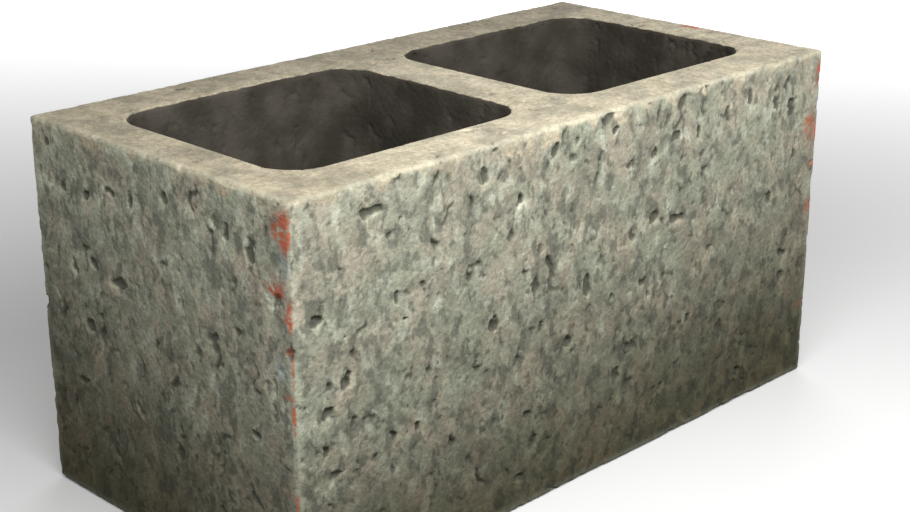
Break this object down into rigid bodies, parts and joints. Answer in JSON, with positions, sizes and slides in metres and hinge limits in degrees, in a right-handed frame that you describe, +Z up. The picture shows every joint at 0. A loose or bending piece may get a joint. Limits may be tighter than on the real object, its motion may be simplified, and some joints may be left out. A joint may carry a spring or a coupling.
{
  "type": "hollow concrete block",
  "caption": "Plain-ended hollow concrete masonry block with rounded, drafted cores right through it, laid in mortar to build walls, piers and footings.",
  "frame": {"origin": "centre of the bottom bed, under the centre web", "axes": "+X along the length, +Y across the width, +Z up out of the top bed, where the cores are widest"},
  "size_m": [0.4, 0.2, 0.2],
  "materials": {
    "concrete": "matte open-textured dry-cast concrete, grey to beige, pitted and weathered"
  },
  "bodies": {
    "root": {"concrete_block": "concrete"}
  },
  "joints": []
}
